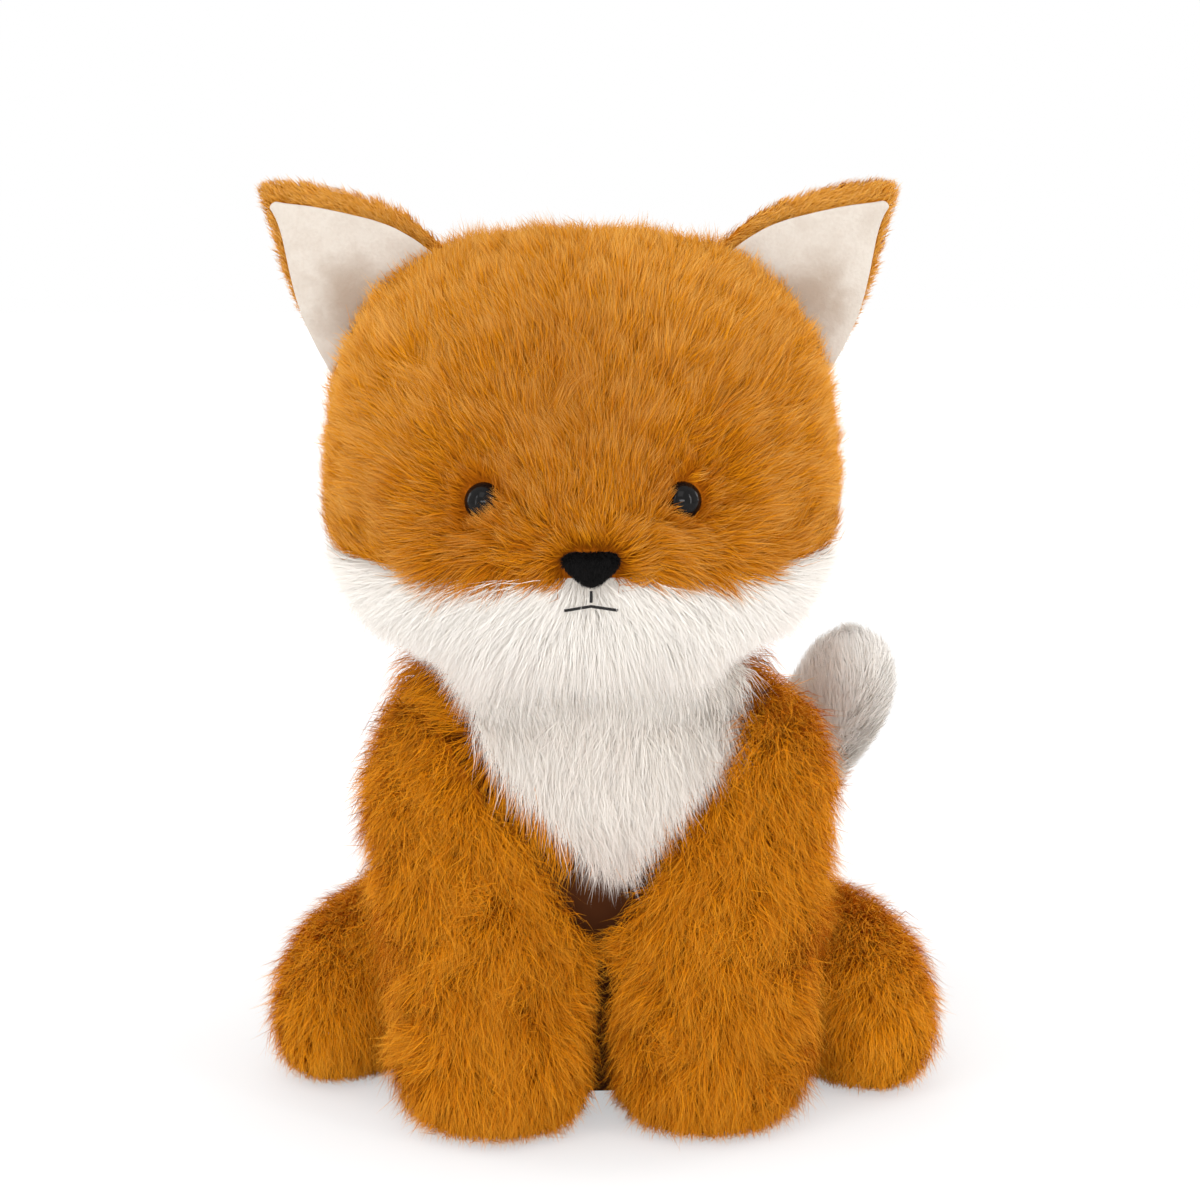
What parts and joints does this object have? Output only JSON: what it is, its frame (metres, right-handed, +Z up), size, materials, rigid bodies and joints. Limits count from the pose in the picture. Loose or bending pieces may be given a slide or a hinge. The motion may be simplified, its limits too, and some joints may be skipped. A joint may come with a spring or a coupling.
{
  "type": "plush fox",
  "caption": "Seated plush fox with orange pile fur, cream cheeks, bib and tail tip, cream-lined ears, black domed eyes and a black velvety nose.",
  "frame": {"origin": "centre of the flat base panel under the body, on the surface that the fox sits on", "axes": "+Z up from the base panel to the ears, -Y the way the fox faces, +X towards the fox's own left"},
  "size_m": [0.2191, 0.2089, 0.2872],
  "materials": {
    "orange_pile": "matte",
    "cream_pile": "matte",
    "cream_velour": "matte",
    "black_plastic": "gloss",
    "black_velvet": "matte",
    "black_thread": "matte",
    "white_plastic": "satin",
    "fibre_filling": "matte",
    "cotton_cloth": "matte",
    "base_cloth": "matte"
  },
  "bodies": {
    "torso": {"torso_skin": "orange_pile", "chest_bib": "cream_pile", "torso_stuffing": "fibre_filling", "pellet_bag": "cotton_cloth", "base_panel": "base_cloth", "foreleg_left_skin": "orange_pile", "foreleg_left_stuffing": "fibre_filling", "foreleg_right_skin": "orange_pile", "foreleg_right_stuffing": "fibre_filling", "hindleg_left_skin": "orange_pile", "hindleg_left_stuffing": "fibre_filling", "hindleg_right_skin": "orange_pile", "hindleg_right_stuffing": "fibre_filling"},
    "head": {"head_crown": "orange_pile", "head_cheeks": "cream_pile", "head_back": "orange_pile", "head_stuffing": "fibre_filling", "eye_left": "black_plastic", "eye_right": "black_plastic", "eye_washer_left": "white_plastic", "eye_washer_right": "white_plastic", "nose": "black_velvet", "lip_stitch": "black_thread", "mouth_stitch": "black_thread"},
    "ear_left": {"ear_left_back": "orange_pile", "ear_left_lining": "cream_velour"},
    "ear_right": {"ear_right_back": "orange_pile", "ear_right_lining": "cream_velour"},
    "tail": {"tail_sleeve": "orange_pile", "tail_tip": "cream_pile", "tail_stuffing": "fibre_filling"}
  },
  "joints": [
    {"name": "neck_turn", "type": "hinge", "parent": "torso", "child": "head", "pos_m": [-0.0045, 0, 0.1402], "axis": [0, 0, 1], "range_deg": [-20, 20], "stiffness_Nm_per_rad": 0.3},
    {"name": "ear_left_flex", "type": "hinge", "parent": "head", "child": "ear_left", "pos_m": [0.0541, 0.003, 0.24625], "axis": [0.6914, 0, -0.7225], "range_deg": [-10, 10], "stiffness_Nm_per_rad": 0.02},
    {"name": "ear_right_flex", "type": "hinge", "parent": "head", "child": "ear_right", "pos_m": [-0.0631, 0.003, 0.24625], "axis": [-0.6914, 0, -0.7225], "range_deg": [-10, 10], "stiffness_Nm_per_rad": 0.02},
    {"name": "tail_swing", "type": "hinge", "parent": "torso", "child": "tail", "pos_m": [0.012, 0.0765, 0.04], "axis": [0, 0, 1], "range_deg": [-25, 25], "stiffness_Nm_per_rad": 0.05}
  ]
}
